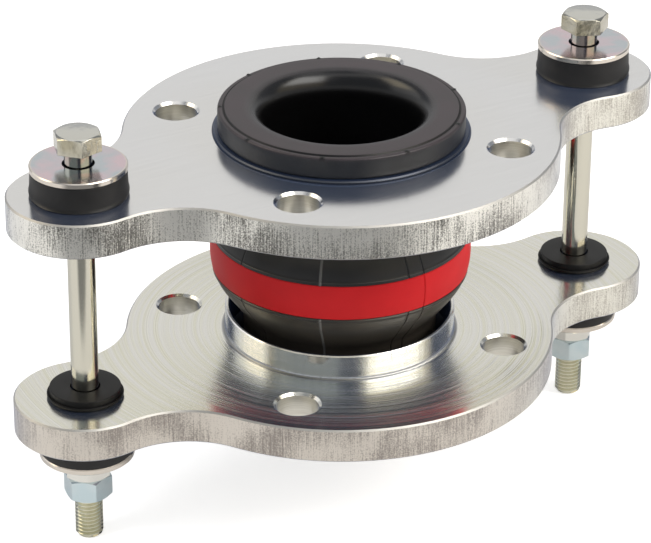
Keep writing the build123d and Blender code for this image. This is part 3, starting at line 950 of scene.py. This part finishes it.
# %% Rubber finishes
def rubber_finish(name, dark, pale, roughness, mirror_share):
    """Moulded rubber, with slow changes of shade and a fine skin."""
    finish, tree, shader = start_finish(name, IOR=1.52, Specular_IOR_Level=mirror_share)
    place = add(tree, "TexCoord").outputs["Object"]
    wear = add(tree, "TexNoise", {"Vector": place, "Scale": 40.0, "Detail": 5.0, "Roughness": 0.6})
    share = add(tree, "MapRange", {"Value": wear, "From Min": 0.35, "From Max": 0.65})
    colour = add(tree, "Mix", {"Factor": share, "A": linear(dark), "B": linear(pale)}, data_type="RGBA")
    join(tree, colour, shader, "Base Color")
    rough = add(tree, "MapRange", {"Value": wear, "To Min": roughness - 0.08, "To Max": roughness + 0.08})
    join(tree, rough, shader, "Roughness")
    skin = add(tree, "TexNoise", {"Vector": place, "Scale": 900.0, "Detail": 3.0})
    bump = add(tree, "Bump", {"Strength": 0.25, "Distance": 0.00006, "Height": skin})
    join(tree, bump, shader, "Normal")
    return finish


# %% [markdown]
# The bellows has three skins. The bore was pressed against a polished core and shines. The
# arch has a satin mould face. The sealing faces carry the bloom. One material
# tells them apart by radius and by height from the middle plane.

# %% Bellows finish
def bellows_finish():
    """Black rubber: glossy bore, satin arch and bloomed sealing faces."""
    finish, tree, shader = start_finish("moulded_black_rubber", IOR=1.52)
    place = add(tree, "TexCoord").outputs["Object"]
    axes = add(tree, "SeparateXYZ", {0: place})
    flat = add(tree, "CombineXYZ", {"X": axes.outputs["X"], "Y": axes.outputs["Y"]})
    radius = add(tree, "VectorMath", {0: flat}, operation="LENGTH").outputs["Value"]
    level = add(tree, "Math", {0: axes.outputs["Z"], 1: middle_height * MM}, operation="SUBTRACT")
    off_middle = add(tree, "Math", {0: level}, operation="ABSOLUTE")
    wear = add(tree, "TexNoise", {"Vector": place, "Scale": 55.0, "Detail": 5.0, "Roughness": 0.6})
    share = add(tree, "MapRange", {"Value": wear, "From Min": 0.35, "From Max": 0.65})
    upper_arch_colour = add(
        tree, "Mix", {"Factor": share, "A": linear("#0F0F11"), "B": linear("#19181A")},
        data_type="RGBA",
    )
    # Below the band the arch is painted lighter and browner, a painted reflection of the lower flange
    painted_reflection_arch = add(
        tree, "Mix", {"Factor": share, "A": linear("#2A2724"), "B": linear("#37332E")},
        data_type="RGBA",
    )
    below_band = add(tree, "MapRange", {"Value": level, "From Min": 0.006, "From Max": -0.008})
    arch_colour = add(
        tree, "Mix", {"Factor": below_band, "A": upper_arch_colour, "B": painted_reflection_arch}, data_type="RGBA",
    )
    bloom = add(
        tree, "Mix", {"Factor": share, "A": linear("#2C2529"), "B": linear("#382F34")},
        data_type="RGBA",
    )
    edge_colour = add(
        tree, "Mix", {"Factor": share, "A": linear("#1F2126"), "B": linear("#2A2C31")},
        data_type="RGBA",
    )
    on_edge = add(tree, "MapRange", {"Value": off_middle, "From Min": 0.0550, "From Max": 0.0554})
    outside = add(tree, "MapRange", {"Value": radius, "From Min": 0.0370, "From Max": 0.0418})
    on_face = add(tree, "MapRange", {"Value": off_middle, "From Min": 0.0630, "From Max": 0.0644})
    lip_side = add(tree, "Math", {0: on_edge, 1: outside}, operation="MULTIPLY")
    bloomed = add(tree, "Math", {0: on_face, 1: outside}, operation="MULTIPLY")
    first = add(tree, "Mix", {"Factor": lip_side, "A": arch_colour, "B": edge_colour}, data_type="RGBA")
    second = add(tree, "Mix", {"Factor": bloomed, "A": first, "B": bloom}, data_type="RGBA")
    # The raised flash line is painted pale, a painted highlight along its crest
    bearing = add(tree, "Math", {0: axes.outputs["Y"], 1: axes.outputs["X"]}, operation="ARCTAN2")
    from_rib = add(tree, "Math", {0: bearing, 1: radians(raised_seam)}, operation="SUBTRACT")
    near_rib = add(tree, "Math", {0: from_rib}, operation="ABSOLUTE")
    rib = add(tree, "MapRange", {"Value": near_rib, "From Min": radians(0.75), "From Max": radians(0.45)})
    on_arch = add(tree, "Math", {0: rib, 1: lip_side}, operation="SUBTRACT", use_clamp=True)
    painted_rib_highlight = add(tree, "Math", {0: on_arch, 1: outside}, operation="MULTIPLY")
    third = add(tree, "Mix", {"Factor": painted_rib_highlight, "A": second, "B": linear("#565656")}, data_type="RGBA")
    # The groove round the sealing face is painted near black, a painted shade in the groove
    groove_at = (face_groove[0] + face_groove[1]) / 2 * MM
    from_groove = add(tree, "Math", {0: radius, 1: groove_at}, operation="SUBTRACT")
    near_groove = add(tree, "Math", {0: from_groove}, operation="ABSOLUTE")
    in_groove = add(tree, "MapRange", {"Value": near_groove, "From Min": 0.0006, "From Max": 0.0003})
    painted_groove_shade = add(tree, "Math", {0: in_groove, 1: bloomed}, operation="MULTIPLY")
    # Vent marks are cut off black: fold the turn into one 40 degree step and measure from the middle
    turned_on = add(tree, "Math", {0: bearing, 1: radians(10 + 360 + 20)}, operation="ADD")
    in_step = add(tree, "Math", {0: turned_on, 1: radians(40)}, operation="MODULO")
    from_vent = add(tree, "Math", {0: in_step, 1: radians(20)}, operation="SUBTRACT")
    near_vent = add(tree, "Math", {0: from_vent}, operation="ABSOLUTE")
    vent = add(tree, "MapRange", {"Value": near_vent, "From Min": radians(1.6), "From Max": radians(1.1)})
    on_rim = add(tree, "MapRange", {"Value": radius, "From Min": 0.0493, "From Max": 0.0497})
    on_bevel = add(tree, "Math", {0: vent, 1: on_rim}, operation="MULTIPLY")
    vent_shade = add(tree, "Math", {0: on_bevel, 1: bloomed}, operation="MULTIPLY")
    dark_share = add(tree, "Math", {0: painted_groove_shade, 1: vent_shade}, operation="MAXIMUM")
    fourth = add(tree, "Mix", {"Factor": dark_share, "A": third, "B": linear("#0A0A0B")}, data_type="RGBA")
    # The bore and the throat's flare are painted nearly black: black rubber, darker still as painted shade
    in_bore = add(tree, "MapRange", {"Value": radius, "From Min": 0.0370, "From Max": 0.0335})
    colour = add(tree, "Mix", {"Factor": in_bore, "A": fourth, "B": linear("#09090A")}, data_type="RGBA")
    join(tree, colour, shader, "Base Color")
    satin = add(tree, "MapRange", {"Value": wear, "To Min": 0.30, "To Max": 0.46})
    gloss = add(tree, "MapRange", {"Value": wear, "To Min": 0.19, "To Max": 0.28})
    rough = add(tree, "Mix", {"Factor": outside, "A": gloss, "B": satin})
    join(tree, rough, shader, "Roughness")
    skin = add(tree, "TexNoise", {"Vector": place, "Scale": 900.0, "Detail": 3.0})
    bump = add(tree, "Bump", {"Strength": 0.25, "Distance": 0.00006, "Height": skin})
    join(tree, bump, shader, "Normal")
    return finish


# %% Rubber pieces
bellows.data.materials.append(bellows_finish())
band.data.materials.append(rubber_finish("moulded_red_rubber", "#C4111A", "#CE181F", 0.5, 0.25))
buffer_rubber = rubber_finish("moulded_buffer_rubber", "#151517", "#212020", 0.5, 0.4)
grommet_rubber = rubber_finish("moulded_grommet_rubber", "#0A0A0B", "#131212", 0.45, 0.3)
for piece in buffers.values():
    piece.data.materials.append(buffer_rubber)
for piece in grommets.values():
    piece.data.materials.append(grommet_rubber)
print("rubber dressed")

# %% [markdown]
# ## Tying the pieces to the moving joint
#
# The upper flange travels along the pipe axis. The bellows and its band are fixed to both
# flanges; here they take the place of the solid ones and are tied to neither end.
# Everything else rides on the end that carries it.

# %% Movement
for piece, node, slot in ((bellows, "rubber_bellows", "moulded_rubber"), (band, "red_band", "red_rubber")):
    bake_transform(piece)
    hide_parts(node)
for group, slot in ((tie_bolts, "zinc_hardware"), (buffers, "buffer_rubber"), (grommets, "buffer_rubber")):
    for node, piece in group.items():
        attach(piece, "upper_end" if node.startswith("upper") else "lower_end")
        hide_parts(node)

bpy.context.scene.view_settings.view_transform = "Standard"
